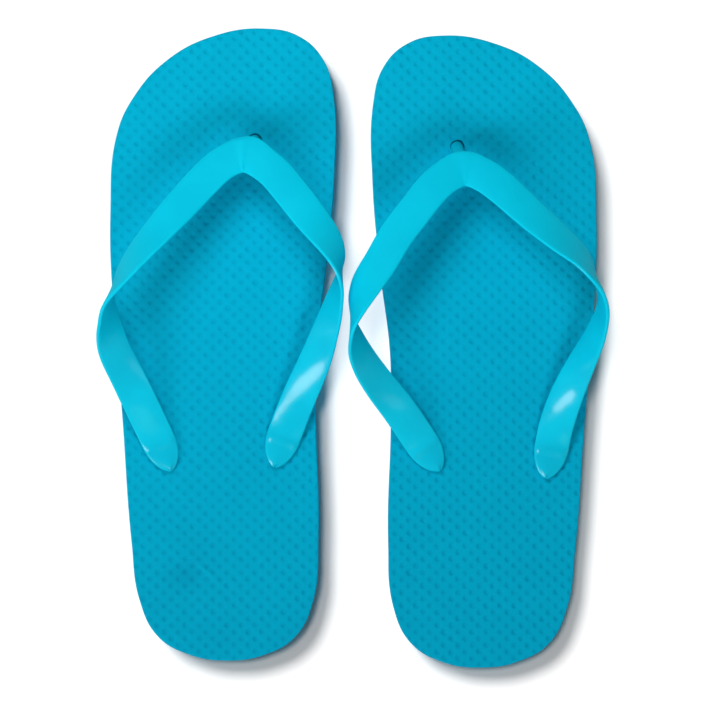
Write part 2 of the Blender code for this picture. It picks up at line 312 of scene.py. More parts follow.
# Noise in the materials: size of its features in millimetres, detail and, for some, roughness.
# Its values lie mostly inside NOISE_RANGE, or SPECKLE_RANGE where a sharper pattern is wanted.
FOAM_CLOUD = (28.0, 3.0)
FOAM_SPECKLE = (0.9, 3.0, 0.7)
FOAM_SKIN = (1.6, 3.0)
FOAM_SWELL = (2.2, 2.0)
FOAM_PORES = (0.35, 2.0)
MOULDING_CLOUD = (16.0, 2.0)
MOULDING_SHEEN = (3.0, 3.0)
MOULDING_SWELL = (6.0, 2.0)
MOULDING_GRAIN = (0.6, 2.0)
NOISE_RANGE = (0.3, 0.7)
SPECKLE_RANGE = (0.35, 0.65)

# How much darker the noise makes the colour, and the foam's roughness and specular level.
FOAM_CLOUD_SHADE = 0.16
FOAM_SPECKLE_SHADE = 0.1
MOULDING_CLOUD_SHADE = 0.5
FOAM_ROUGHNESS = (0.72, 0.92)
FOAM_LEVEL = 0.02

# Bump in the materials: depth in millimetres and strength. A moulding's grain has its depth from its finish.
PORE_BUMP = (0.06, 0.5)
FOAM_SWELL_BUMP = (0.12, 0.35)
MOULDING_SWELL_BUMP = (0.25, 0.4)
GRAIN_STRENGTH = 0.5

# How much painted shade darkens the foam in its dimples, dents and tread grooves, and towards the heel.
# The heel's painted shade fades out over HEEL_SHADE_RANGE, in metres along the sole.
PIT_SHADE = 0.28
HEEL_SHADE = 0.36
HEEL_SHADE_RANGE = (-0.12, 0.03)

# How much a painted highlight makes a moulding paler at its rims and ridge, and how much painted shade
# darkens its flattened tongue ends.
RIM_HIGHLIGHT = 0.5
TONGUE_SHADE = 0.5

CAMERA_PLACE = (2.7, -4.9, 1315.0)
CAMERA_LENS = 158.1
SENSOR_WIDTH = 36.0
CLIP_RANGE = (0.05, 100.0)
FLOOR_SIZE = 40.0
FLOOR_COLOUR = (0.95, 0.95, 0.95, 1.0)

# Each lamp's place, width, height, power and whether it shows in gloss.
TOP_LIGHT = ((-0.10, 0.24, 0.45), 0.22, 0.22, 1.19, False)
SOFTBOX = ((-0.74, -0.49, 0.67), 0.30, 0.66, 4.05, True)
SIDE_LIGHT = ((0.90, -0.42, 0.56), 0.30, 0.40, 0.2, True)
HEEL_LIGHT = ((0.25, -1.05, 1.50), 0.75, 0.75, 13.3, False)
LIGHTS_AIM = (0.0, 0.0, 0.02)

# The floor's suns: direction, strength, angle, colour and the endings of the pieces that block it.
WHITE = (1.0, 1.0, 1.0)
WARM = (1.0, 0.92, 0.88)
FLOOR_SUNS = (
    ((-0.39, 0.48, 0.9), 2.85, 20.0, WHITE, ("_sheet",)),
    ((-0.12, 0.13, 0.9), 1.0, 10.0, WARM, ("_sheet", "_band")),
)
ZENITH_STRENGTH = 0.09
HORIZON_STRENGTH = 0.11


class Surface:
    """Collects the points and faces of one mesh, in millimetres."""

    def __init__(self):
        self.points = []
        self.faces = []
        self.pits = []

    def add(self, points, pits=None):
        """Adds points and returns their numbers."""
        first = len(self.points)
        self.points.extend(map(tuple, points))
        self.pits.extend([0.0] * len(points) if pits is None else pits)
        return list(range(first, len(self.points)))

    def bridge(self, first, second):
        """Joins two closed loops of the same length with quads."""
        for near, far in zip(zip(first, first[1:] + first[:1]), zip(second, second[1:] + second[:1])):
            self.faces.append((near[0], near[1], far[1], far[0]))

    def make(self, name):
        """Turns what was collected into a mesh object with smooth shading."""
        mesh = bpy.data.meshes.new(name)
        mesh.from_pydata([(x * MM, y * MM, z * MM) for x, y, z in self.points], [], self.faces)
        bm = bmesh.new()
        bm.from_mesh(mesh)
        bmesh.ops.recalc_face_normals(bm, faces=bm.faces)
        bm.to_mesh(mesh)
        bm.free()
        mesh.shade_smooth()
        add_values(mesh, "pit", self.pits)
        return finish_piece(name, mesh)


def add_values(mesh, name, values):
    """Stores one number per point, for a material to read."""
    layer = mesh.attributes.new(name, "FLOAT", "POINT")
    layer.data.foreach_set("value", np.array(values, np.float32))


def finish_piece(name, mesh):
    """Adds the object, with each point's place at rest, so that a pattern stays put when the piece bends."""
    places = np.zeros(len(mesh.vertices) * 3, np.float32)
    mesh.vertices.foreach_get("co", places)
    layer = mesh.attributes.new("place", "FLOAT_VECTOR", "POINT")
    layer.data.foreach_set("vector", places)
    piece = bpy.data.objects.new(name, mesh)
    bpy.context.scene.collection.objects.link(piece)
    return piece


def side_sign(side):
    """Gives +1 for the left sandal, as drawn, and -1 for its mirror image."""
    return 1 if side == "left" else -1


def outline(side):
    """Traces the sole's outline as evenly spaced points, anticlockwise from above."""
    curve = bpy.data.curves.new("outline", "CURVE")
    curve.resolution_u = CURVE_STEPS
    spline = curve.splines.new("BEZIER")
    spline.bezier_points.add(len(SOLE_OUTLINE) - 1)
    spline.use_cyclic_u = True
    sign = side_sign(side)
    for point, (x, y) in zip(spline.bezier_points, SOLE_OUTLINE):
        point.co = (sign * x, y + sign * SOLE_STAGGER, 0)
        point.handle_left_type = "AUTO"
        point.handle_right_type = "AUTO"
    holder = bpy.data.objects.new("outline", curve)
    bpy.context.scene.collection.objects.link(holder)
    bpy.context.view_layer.update()
    mesh = bpy.data.meshes.new_from_object(holder)
    loop = np.array([vertex.co[:2] for vertex in mesh.vertices])
    bpy.data.objects.remove(holder, do_unlink=True)
    bpy.data.meshes.remove(mesh)
    following = np.roll(loop, -1, axis=0)
    if (loop[:, 0] * following[:, 1] - following[:, 0] * loop[:, 1]).sum() < 0:
        loop = loop[::-1]
    return even_points(loop, OUTLINE_SPACING)


def even_points(loop, spacing):
    """Spaces points evenly along a closed loop."""
    closed = np.vstack([loop, loop[:1]])
    lengths = np.linalg.norm(np.diff(closed, axis=0), axis=1)
    places = np.concatenate([[0.0], np.cumsum(lengths)])
    count = round(places[-1] / spacing)
    wanted = np.linspace(0.0, places[-1], count, endpoint=False)
    return np.column_stack([np.interp(wanted, places, closed[:, axis]) for axis in range(2)])


def inward(loop):
    """Finds the direction into the sole at each point of its outline."""
    tangent = np.roll(loop, -1, axis=0) - np.roll(loop, 1, axis=0)
    normal = np.column_stack([-tangent[:, 1], tangent[:, 0]])
    return normal / np.linalg.norm(normal, axis=1)[:, None]


def nearest(points, targets):
    """Finds each point's nearest target and the step from that target to the point."""
    numbers = np.empty(len(points), int)
    for start in range(0, len(points), SEARCH_BATCH):
        part = points[start:start + SEARCH_BATCH]
        gaps = ((part[:, None, :] - targets[None, :, :]) ** 2).sum(axis=2)
        numbers[start:start + SEARCH_BATCH] = gaps.argmin(axis=1)
    return numbers, points - targets[numbers]


def depth_inside(points, loop):
    """Measures how far inside the outline each point lies; outside is negative."""
    numbers, steps = nearest(points, loop)
    return (steps * inward(loop)[numbers]).sum(axis=1)


def smooth(values):
    """Eases 0..1 in and out."""
    share = np.clip(values, 0.0, 1.0)
    return share * share * (3 - 2 * share)


def circle(centre, radius, count, turn=0.0):
    """Gives evenly spaced points of a circle."""
    angles = np.arange(count) * 2 * math.pi / count + turn
    return np.column_stack([centre[0] + radius * np.cos(angles), centre[1] + radius * np.sin(angles)])


def clear_of_holes(points, holes, gap):
    """Tells which points lie further than the gap from every hole's edge."""
    clear = np.ones(len(points), bool)
    for centre, radius in holes:
        clear &= np.linalg.norm(points - np.array(centre), axis=1) > radius + gap
    return clear


def dimple_centres(loop):
    """Places the dimples' centres in staggered rows over the sole."""
    low = loop.min(axis=0) - DIMPLE_PITCH
    high = loop.max(axis=0) + DIMPLE_PITCH
    centres = []
    for row in range(int(low[1] // DIMPLE_ROW), int(high[1] // DIMPLE_ROW) + 1):
        shift = DIMPLE_PITCH / 2 if row % 2 else 0.0
        for column in range(int(low[0] // DIMPLE_PITCH), int(high[0] // DIMPLE_PITCH) + 1):
            centres.append((column * DIMPLE_PITCH + shift, row * DIMPLE_ROW))
    centres = np.array(centres)
    centres = centres[depth_inside(centres, loop) > -DIMPLE_RIM]
    random = np.random.default_rng(PLACE_SEED)
    return centres + random.uniform(-DIMPLE_JITTER, DIMPLE_JITTER, centres.shape)


def dimple_points(centres):
    """Gives the points that each dimple and the ridges between dimples need."""
    groups = [centres]
    for radius, count in DIMPLE_RINGS:
        for centre in centres:
            groups.append(circle(centre, radius, count, radius))
    half = np.array([DIMPLE_PITCH / 2, 0.0])
    slant = np.array([DIMPLE_PITCH / 4, DIMPLE_ROW / 2])
    groups += [centres + half, centres + slant, centres + slant * (1, -1)]
    return np.vstack(groups)


class Footbed:
    """The relief of the footbed's upper face."""

    def __init__(self, loop, holes, dents):
        self.centres = dimple_centres(loop)
        self.holes = holes
        self.dents = dents
        random = np.random.default_rng(DEPTH_SEED)
        self.depths = DIMPLE_DEPTH * random.uniform(*DIMPLE_DEPTH_SPREAD, len(self.centres))

    def relief(self, points):
        """Gives the face's height and how far each point lies in a dimple or a dent, which sets its painted
        shade.
        """
        numbers, steps = nearest(points, self.centres)
        distance = np.linalg.norm(steps, axis=1)
        pit = smooth((DIMPLE_RIM - distance) / (DIMPLE_RIM - DIMPLE_FLOOR))
        height = -pit * self.depths[numbers]
        saddle = smooth(1 - np.abs(distance - DIMPLE_RIM - SADDLE_STEP) / SADDLE_REACH) * (1 - pit)
        height -= SADDLE_DEPTH * saddle
        for centre, radius in self.holes:
            gap = np.linalg.norm(points - np.array(centre), axis=1) - radius
            height -= PLUG_PULL * np.exp(-np.clip(gap, 0, None) / PLUG_PULL_REACH)
        for centre, length, width, turn, depth in self.dents:
            steps = points - np.array(centre)
            direction = np.array([math.cos(math.radians(turn)), math.sin(math.radians(turn))])
            along = steps @ direction / length
            across = steps @ np.array([-direction[1], direction[0]]) / width
            press = depth * np.exp(-along ** 2 - across ** 2)
            height -= press
            # A dent adds painted shade, and a raised crest takes it away as a painted highlight.
            pit = pit + DENT_SHADE * press
        return height, pit

    def points(self):
        """Gives the points inside the face."""
        return dimple_points(self.centres)


class Tread:
    """The relief of the outsole's lower face."""

    def __init__(self, loop, holes):
        self.loop = loop
        self.holes = holes

    def wave(self, x):
        """Gives a groove's swing at a place across the sole."""
        return TREAD_SWING * np.sin(x * 2 * math.pi / TREAD_WAVE)

    def relief(self, points):
        """Gives the face's height, which rises in a groove, and the share of the groove's depth, which sets
        painted shade.
        """
        offset = (points[:, 1] - self.wave(points[:, 0])) / TREAD_PITCH
        offset = np.abs(offset - np.round(offset)) * TREAD_PITCH
        groove = np.clip((GROOVE_RIM - offset) / (GROOVE_RIM - GROOVE_FLOOR), 0, 1)
        fade = smooth(depth_inside(points, self.loop) / TREAD_MARGIN - EDGE_FADE_START)
        for centre, radius in self.holes:
            gap = np.linalg.norm(points - np.array(centre), axis=1) - radius
            fade *= smooth(gap / TREAD_MARGIN - HOLE_FADE_START)
        return TREAD_DEPTH * groove * fade, groove * fade

    def points(self):
        """Gives rows of points along the grooves' edges."""
        low = self.loop.min(axis=0)
        high = self.loop.max(axis=0)
        across = np.arange(low[0], high[0], TREAD_SPACING)
        rows = []
        for number in range(int(low[1] // TREAD_PITCH), int(high[1] // TREAD_PITCH) + 1):
            for offset in (-GROOVE_RIM, -GROOVE_FLOOR, GROOVE_FLOOR, GROOVE_RIM):
                rows.append(np.column_stack([across, number * TREAD_PITCH + offset + self.wave(across)]))
        return np.vstack(rows)


class Hidden:
    """A plain face between the two layers."""

    def __init__(self, loop):
        self.loop = loop

    def relief(self, points):
        """Gives a flat face."""
        return np.zeros(len(points)), np.zeros(len(points))

    def points(self):
        """Gives a coarse grid, so that the face bends with the others."""
        low = self.loop.min(axis=0)
        high = self.loop.max(axis=0)
        across, along = np.meshgrid(
            np.arange(low[0], high[0], HIDDEN_SPACING), np.arange(low[1], high[1], HIDDEN_SPACING)
        )
        return np.column_stack([across.ravel(), along.ravel()])


def cover(surface, face, edge, edge_numbers, holes, hole_numbers, height):
    """Fills the face inside its edge and round its holes with triangles.

    Each point is owned by the edge (0), a hole (1 and up) or none (-1).
    """
    inner = face.points()
    inner = inner[depth_inside(inner, edge) > EDGE_GAP]
    inner = inner[clear_of_holes(inner, holes, EDGE_GAP)]
    relief, pits = face.relief(inner)
    places = np.column_stack([inner, height + relief])
    numbers = list(edge_numbers)
    loops = [len(edge_numbers)]
    for group in hole_numbers:
        numbers += group
        loops.append(len(group))
    numbers += surface.add(places, pits.tolist())
    flat = [Vector(surface.points[number][:2]) for number in numbers]
    edges = []
    owner = [-1] * len(numbers)
    first = 0
    for which, length in enumerate(loops):
        for step in range(length):
            edges.append((first + step, first + (step + 1) % length))
            owner[first + step] = which
        first += length
    points, _, faces, originals, _, _ = delaunay_2d_cdt(flat, edges, [], 1, MERGE_DISTANCE, True)
    middles = []
    for triangle in faces:
        middles.append(sum((points[corner] for corner in triangle), Vector((0, 0))) / 3)
    inside = depth_inside(np.array(middles), edge) > 0
    for triangle, kept in zip(faces, inside):
        corners = [originals[corner][0] for corner in triangle]
        owners = {owner[corner] for corner in corners}
        outside_edge = owners == {0} and not kept
        in_hole = len(owners) == 1 and min(owners) > 0
        if not outside_edge and not in_hole:
            surface.faces.append(tuple(numbers[corner] for corner in corners))


def rounded_wall(high, low):
    """Gives the side wall as insets and heights, from the upper face's edge to the lower face's."""
    wall = []
    for step in range(ROUNDING_STEPS + 1):
        angle = math.radians(90 * step / ROUNDING_STEPS)
        wall.append((EDGE_ROUNDING * (1 - math.sin(angle)), high - EDGE_ROUNDING * (1 - math.cos(angle))))
    rise = high - low - 2 * EDGE_ROUNDING
    count = max(2, round(rise / WALL_SPACING))
    for step in range(1, count):
        wall.append((0.0, high - EDGE_ROUNDING - rise * step / count))
    for inset, height in reversed(wall[:ROUNDING_STEPS + 1]):
        wall.append((inset, low + high - height))
    return wall


def side_wall(surface, loop, high, low, top_face, bottom_face):
    """Builds the side wall, which follows the relief of the faces at its rounded edges."""
    normals = inward(loop)
    rings = []
    for inset, height in rounded_wall(high, low):
        ring = loop + normals * inset
        near_top = (height - (high - EDGE_ROUNDING)) / EDGE_ROUNDING
        near_bottom = (low + EDGE_ROUNDING - height) / EDGE_ROUNDING
        top_relief, top_pits = top_face.relief(ring)
        bottom_relief, bottom_pits = bottom_face.relief(ring)
        top_share = float(np.clip(near_top, 0, 1))
        bottom_share = float(np.clip(near_bottom, 0, 1))
        heights = height + top_relief * top_share + bottom_relief * bottom_share
        pits = top_pits * top_share + bottom_pits * bottom_share
        rings.append(surface.add(np.column_stack([ring, heights]), pits.tolist()))
    for first, second in zip(rings, rings[1:]):
        surface.bridge(first, second)
    return rings


def shaft_wall(surface, centre, profile, top_face, bottom_face):
    """Builds a hole's wall from its radii and heights, from the upper face down."""
    rings = []
    for index, (radius, height) in enumerate(profile):
        ring = circle(centre, radius, HOLE_STEPS)
        heights = np.full(HOLE_STEPS, height)
        if index == 0:
            heights = heights + top_face.relief(ring)[0]
        elif index == len(profile) - 1:
            heights = heights + bottom_face.relief(ring)[0]
        rings.append(surface.add(np.column_stack([ring, heights])))
    for first, second in zip(rings, rings[1:]):
        surface.bridge(first, second)
    return rings


def sole_layer(name, loop, high, low, top_face, bottom_face, shafts):
    """Builds one foam sheet. Each shaft is a hole's centre and its radii and heights from top to bottom."""
    surface = Surface()
    wall = side_wall(surface, loop, high, low, top_face, bottom_face)
    edge = loop + inward(loop) * EDGE_ROUNDING
    shaft_walls = [shaft_wall(surface, *shaft, top_face, bottom_face) for shaft in shafts]
    for face, height, end in ((top_face, high, 0), (bottom_face, low, -1)):
        holes = [(centre, profile[end][0]) for centre, profile in shafts]
        hole_numbers = [rings[end] for rings in shaft_walls]
        cover(surface, face, edge, wall[end], holes, hole_numbers, height)
    return surface.make(name)


def plug_places(side):
    """Gives the three holes' centres: toe, outer and inner."""
    stations = STRAPS[side]
    return {"toe": TOE_HOLES[side], "outer": stations[1][:2], "inner": stations[-2][:2]}


def footbed(side, loop):
    """Builds the footbed's sheet."""
    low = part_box(side + "_footbed_rear")[0].z / MM
    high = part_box(side + "_footbed_rear")[1].z / MM
    places = plug_places(side)
    holes = [(places["toe"], TOE_HOLE_RADIUS)]
    holes += [(places[place], STEM_HOLE_RADIUS) for place in ("outer", "inner")]
    shafts = []
    for centre, radius in holes:
        lip = [(radius + wider, high - depth) for wider, depth in HOLE_LIP]
        shafts.append((centre, lip + [(radius, (high + low) / 2), (radius, low)]))
    top_face = Footbed(loop, holes[:1], DENTS[side])
    piece = sole_layer(side + "_footbed_sheet", loop, high, low, top_face, Hidden(loop), shafts)
    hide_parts(side + "_footbed_front", side + "_footbed_rear")
    return piece


def outsole(side, loop):
    """Builds the outsole's sheet with the recesses for the plugs' discs."""
    low = 0.0
    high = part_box(side + "_outsole_rear")[1].z / MM
    centres = plug_places(side).values()
    recesses = [(centre, RECESS_RADIUS) for centre in centres]
    shafts = []
    for centre in centres:
        profile = [
            (STEM_HOLE_RADIUS, high),
            (STEM_HOLE_RADIUS, (high + RECESS_DEPTH) / 2),
            (STEM_HOLE_RADIUS, RECESS_DEPTH),
            (RECESS_RADIUS * RECESS_MIDDLE, RECESS_DEPTH),
            (RECESS_RADIUS - RECESS_BEVEL, RECESS_DEPTH),
            (RECESS_RADIUS, RECESS_DEPTH - RECESS_BEVEL),
            (RECESS_RADIUS, RECESS_DEPTH / 2),
            (RECESS_RADIUS, low + RECESS_BEVEL),
            (RECESS_RADIUS + RECESS_BEVEL, low),
        ]
        shafts.append((centre, profile))
    piece = sole_layer(side + "_outsole_sheet", loop, high, low, Hidden(loop), Tread(loop, recesses), shafts)
    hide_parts(side + "_outsole_front", side + "_outsole_rear")
    return piece


def catmull_rom(before, start, end, after, part):
    """Finds a place on a smooth centripetal curve between two stations."""
    points = [before, start, end, after]
    knots = [0.0]
    for first, second in zip(points, points[1:]):
        knots.append(knots[-1] + math.sqrt(np.linalg.norm(second[:3] - first[:3])))
    place = knots[1] + (knots[2] - knots[1]) * part

    def mix(low, high, low_knot, high_knot):
        """Reads the line between two values at the wanted place."""
        return low + (high - low) * (place - low_knot) / (high_knot - low_knot)

    first = mix(points[0], points[1], knots[0], knots[1])
    second = mix(points[1], points[2], knots[1], knots[2])
    third = mix(points[2], points[3], knots[2], knots[3])
    fourth = mix(first, second, knots[0], knots[2])
    fifth = mix(second, third, knots[1], knots[3])
    return mix(fourth, fifth, knots[1], knots[2])


def path_lengths(path):
    """Measures how far along the path each place is."""
    return np.concatenate([[0.0], np.cumsum(np.linalg.norm(np.diff(path[:, :3], axis=0), axis=1))])


def smooth_path(stations):
    """Runs a smooth path with even steps through the strap's stations."""
    given = np.array(stations, float)
    padded = np.vstack([2 * given[0] - given[1], given, 2 * given[-1] - given[-2]])
    dense = []
    for index in range(1, len(padded) - 2):
        for step in range(PATH_STEPS):
            dense.append(catmull_rom(*padded[index - 1:index + 3], step / PATH_STEPS))
    dense = np.array(dense + [given[-1]])
    places = path_lengths(dense)
    count = round(places[-1] / STRAP_SPACING)
    wanted = np.linspace(0.0, places[-1], count + 1)
    path = np.column_stack([np.interp(wanted, places, dense[:, axis]) for axis in range(4)])
    return soften(path)


def soften(path):
    """Evens out the path's bends over a short length, with its ends held."""
    reach = round(SMOOTHING_REACH * STRAP_SMOOTHING / STRAP_SPACING)
    steps = np.arange(-reach, reach + 1) * STRAP_SPACING
    weights = np.exp(-0.5 * (steps / STRAP_SMOOTHING) ** 2)
    weights /= weights.sum()
    before = 2 * path[0] - path[reach:0:-1]
    after = 2 * path[-1] - path[-2:-reach - 2:-1]
    padded = np.vstack([before, path, after])
    return np.column_stack([np.convolve(padded[:, axis], weights, "valid") for axis in range(4)])


def tongue_width(distance):
    """Gives the ribbon's share of its full width at a distance from a tongue's tip."""
    if distance >= TONGUE_LENGTH:
        return 1.0
    share = 1 - max(distance, 0.0) / TONGUE_LENGTH
    return max(TONGUE_TIP_WIDTH, (1 - share * share) ** TONGUE_POINT)


def ribbon_frame(path, index, across_sign):
    """Finds the ribbon's directions across its width and out of its outer face."""
    ahead = Vector(path[min(index + 1, len(path) - 1)][:3])
    behind = Vector(path[max(index - 1, 0)][:3])
    along = (ahead - behind).normalized()
    level = along.cross(Vector((0, 0, 1))).normalized() * across_sign
    upward = level.cross(along).normalized()
    if upward.z < 0:
        upward.negate()
    roll = math.radians(path[index][3])
    across = level * math.cos(roll) + upward * math.sin(roll)
    outward = upward * math.cos(roll) - level * math.sin(roll)
    return across, outward


def ribbon_section(half_width, edge):
    """Gives the cross-section: places across and through, and shares of the foot side and of the rim's
    painted highlight.
    """
    edge = min(edge, half_width)
    flat = half_width - edge
    section = []
    for step in range(FACE_POINTS):
        share = step / (FACE_POINTS - 1) * 2 - 1
        through = STRAP_HALF_THICKNESS + STRAP_CROWN * (1 - share * share)
        section.append((flat * share, through, 0.0, 0.0))
    for step in range(1, EDGE_POINTS):
        angle = math.pi * step / EDGE_POINTS
        through = STRAP_HALF_THICKNESS * math.cos(angle)
        section.append((flat + edge * math.sin(angle), through, step / EDGE_POINTS, math.sin(angle)))
    for step in range(FACE_POINTS):
        share = 1 - step / (FACE_POINTS - 1) * 2
        through = -STRAP_HALF_THICKNESS - FOOT_SIDE_CROWN * (1 - share * share)
        section.append((flat * share, through, 1.0, 0.0))
    for step in range(1, EDGE_POINTS):
        angle = math.pi * (1 - step / EDGE_POINTS)
        through = STRAP_HALF_THICKNESS * math.cos(angle)
        section.append((-flat - edge * math.sin(angle), through, 1 - step / EDGE_POINTS, math.sin(angle)))
    return section


class Band:
    """Collects the strap's rings and the values that its materials read."""

    def __init__(self, side):
        self.side = side
        self.sole_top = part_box(side + "_footbed_rear")[1].z / MM
        self.path = smooth_path(STRAPS[side])
        self.lengths = path_lengths(self.path)
        self.apex = self.lengths[self.path[:, 1].argmax()]
        from_hole = np.linalg.norm(self.path[:, :2] - np.array(TOE_HOLES[side]), axis=1)
        self.hub = self.lengths[from_hole.argmin()]
        self.foot_side = []
        self.rim = []
        self.thick = []

    def ring(self, index):
        """Gives the points of one cross-section."""
        place = self.path[index]
        length = self.lengths[index]
        across, outward = ribbon_frame(self.path, index, side_sign(self.side))
        from_tip = min(length, self.lengths[-1] - length)
        half_width = STRAP_HALF_WIDTH * tongue_width(from_tip)
        sunk = TONGUE_SINK * (1 - smooth(from_tip / TONGUE_LENGTH - 1))
        flat_end = 1 - smooth(from_tip / TONGUE_LENGTH - FLAT_END_START)
        rounding = STRAP_EDGE + (TONGUE_EDGE - STRAP_EDGE) * flat_end
        knee = KNEE_HEIGHT * math.exp(-((from_tip - KNEE_PLACE) / KNEE_WIDTH) ** 2)
        centre = Vector((place[0], place[1], self.sole_top + place[2] - sunk))
        ridge = RIDGE_HEIGHT[self.side] * math.exp(-((length - self.apex) / RIDGE_WIDTH) ** 2)
        bulge = HUB_BULGE[self.side] * math.exp(-((length - self.hub) / HUB_REACH) ** 2)
        points = []
        for sideways, through, foot, edge in ribbon_section(half_width, rounding):
            # At the hub, places below 0 are on the side towards the toe.
            if sideways < 0:
                sideways *= 1 + bulge / half_width
            if foot == 0:
                through += ridge
                # The ridge's height also sets its painted highlight.
                edge = ridge
            elif foot == 1:
                through -= knee
            points.append(centre + across * sideways + outward * through)
            self.foot_side.append(foot)
            self.rim.append(edge)
            # The flattened tongue ends get painted shade.
            self.thick.append(flat_end)
        return points


def strap(side):
    """Lofts the ribbon from tongue to tongue over the toe post."""
    band = Band(side)
    surface = Surface()
    rings = [surface.add(band.ring(index)) for index in range(len(band.path))]
    for first, second in zip(rings, rings[1:]):
        surface.bridge(first, second)
    surface.faces += [tuple(rings[0]), tuple(reversed(rings[-1]))]
    piece = surface.make(side + "_strap_band")
    mesh = piece.data
    add_values(mesh, "rim", band.rim)
    add_values(mesh, "thick", band.thick)
    # Each wall face has the number of the point that it was made from. The last two faces close the ends.
    slots = np.zeros(len(mesh.polygons), np.int32)
    walls = len(slots) - 2
    slots[:walls] = np.array(band.foot_side[:walls]) > FOOT_SIDE_START
    mesh.polygons.foreach_set("material_index", slots)
    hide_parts(side + "_strap")
    return piece


def turned(profile, centre):
    """Turns an outline of radii and heights round an upright axis. Its first and last radius are 0."""
    surface = Surface()
    top = surface.add([(*centre, profile[0][1])])[0]
    rings = []
    for radius, height in profile[1:-1]:
        ring = circle(centre, radius, TURN_STEPS)
        rings.append(surface.add(np.column_stack([ring, np.full(TURN_STEPS, height)])))
    bottom = surface.add([(*centre, profile[-1][1])])[0]
    for first, second in zip(rings, rings[1:]):
        surface.bridge(first, second)
    for pole, ring in ((top, rings[0]), (bottom, rings[-1])):
        for near, far in zip(ring, ring[1:] + ring[:1]):
            surface.faces.append((pole, near, far))
    return surface


def side_plug(side, place):
    """Builds a side plug under a tongue."""
    node = side + "_" + place + "_plug"
    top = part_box(node)[1].z / MM
    stem = ((0.0, top), (STEM_RADIUS - STEM_BEVEL, top), (STEM_RADIUS, top - STEM_BEVEL))
    piece = turned(stem + DISC_PROFILE, plug_places(side)[place]).make(node + "_moulding")
    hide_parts(node)
    return piece


def toe_post(side, sole_top):
    """Builds the toe post: a plug whose stem leans over and widens into the strap's sloping underside."""
    hole = TOE_HOLES[side]
    top = POST_TOPS[side]
    stem = [(0.0, sole_top + POST_HEIGHT)]
    for step in range(POST_STEPS + 1):
        share = 1 - step / POST_STEPS
        flare = POST_FLARE * max(0.0, 1 - (1 - share) * POST_FLARE_PARTS) ** 2
        stem.append((STEM_RADIUS + flare, sole_top + POST_HEIGHT * share))
    surface = turned(stem + list(DISC_PROFILE), hole)
    tilt = math.tan(math.radians(POST_TOP_TILT))
    moved = []
    for x, y, z in surface.points:
        share = max(0.0, (z - sole_top) / POST_HEIGHT)
        upper_half = max(0.0, share * 2 - 1)
        z -= (y - hole[1]) * tilt * upper_half
        x += TOE_POST_SHIFT[0] + (top[0] - hole[0]) * share
        y += TOE_POST_SHIFT[1] + (top[1] - hole[1]) * share
        moved.append((x, y, z))
    surface.points = moved
    piece = surface.make(side + "_toe_post_moulding")
    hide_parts(side + "_toe_post")
    return piece


class Nodes:
    """Adds and joins a material's nodes."""

    def __init__(self, name):
        self.material = bpy.data.materials.new(name)
        self.material.use_nodes = True
        self.tree = self.material.node_tree
        self.shader = self.tree.nodes["Principled BSDF"]

    def add(self, kind, **settings):
        """Adds a node and sets its properties."""
        node = self.tree.nodes.new(kind)
        for key, value in settings.items():
            setattr(node, key, value)
        return node

    def link(self, source, target):
        """Joins an output to an input."""
        self.tree.links.new(source, target)

    def attribute(self, name):
        """Reads a value stored on the mesh."""
        return self.add("ShaderNodeAttribute", attribute_name=name)

    def noise(self, size, detail=2.0, rough=0.5):
        """Makes noise with features of that size in millimetres."""
        node = self.add("ShaderNodeTexNoise")
        node.inputs["Scale"].default_value = 1 / (size * MM)
        node.inputs["Detail"].default_value = detail
        node.inputs["Roughness"].default_value = rough
        self.link(self.attribute("place").outputs["Vector"], node.inputs["Vector"])
        return node.outputs["Fac"]

    def spread(self, value, low, high, new_low, new_high):
        """Maps one range onto another."""
        node = self.add("ShaderNodeMapRange")
        for name, number in zip(("From Min", "From Max", "To Min", "To Max"), (low, high, new_low, new_high)):
            node.inputs[name].default_value = number
        self.link(value, node.inputs["Value"])
        return node.outputs["Result"]

    def math(self, operation, first, second):
        """Joins two values, either of which may be a number."""
        node = self.add("ShaderNodeMath", operation=operation)
        for value, socket in zip((first, second), node.inputs):
            if isinstance(value, (int, float)):
                socket.default_value = value
            else:
                self.link(value, socket)
        return node.outputs["Value"]

    def mix(self, factor, first, second):
        """Mixes two colours, through the node's colour sockets: inputs 6 and 7 and output 2."""
        node = self.add("ShaderNodeMix", data_type="RGBA")
        self.link(factor, node.inputs["Factor"])
        for value, socket in zip((first, second), (node.inputs[6], node.inputs[7])):
            if isinstance(value, tuple):
                socket.default_value = value
            else:
                self.link(value, socket)
        return node.outputs[2]

    def bump(self, height, distance, strength, normal=None):
        """Adds small relief of that depth in millimetres."""
        node = self.add("ShaderNodeBump")
        node.inputs["Distance"].default_value = distance * MM
        node.inputs["Strength"].default_value = strength
        self.link(height, node.inputs["Height"])
        if normal:
            self.link(normal, node.inputs["Normal"])
        return node.outputs["Normal"]


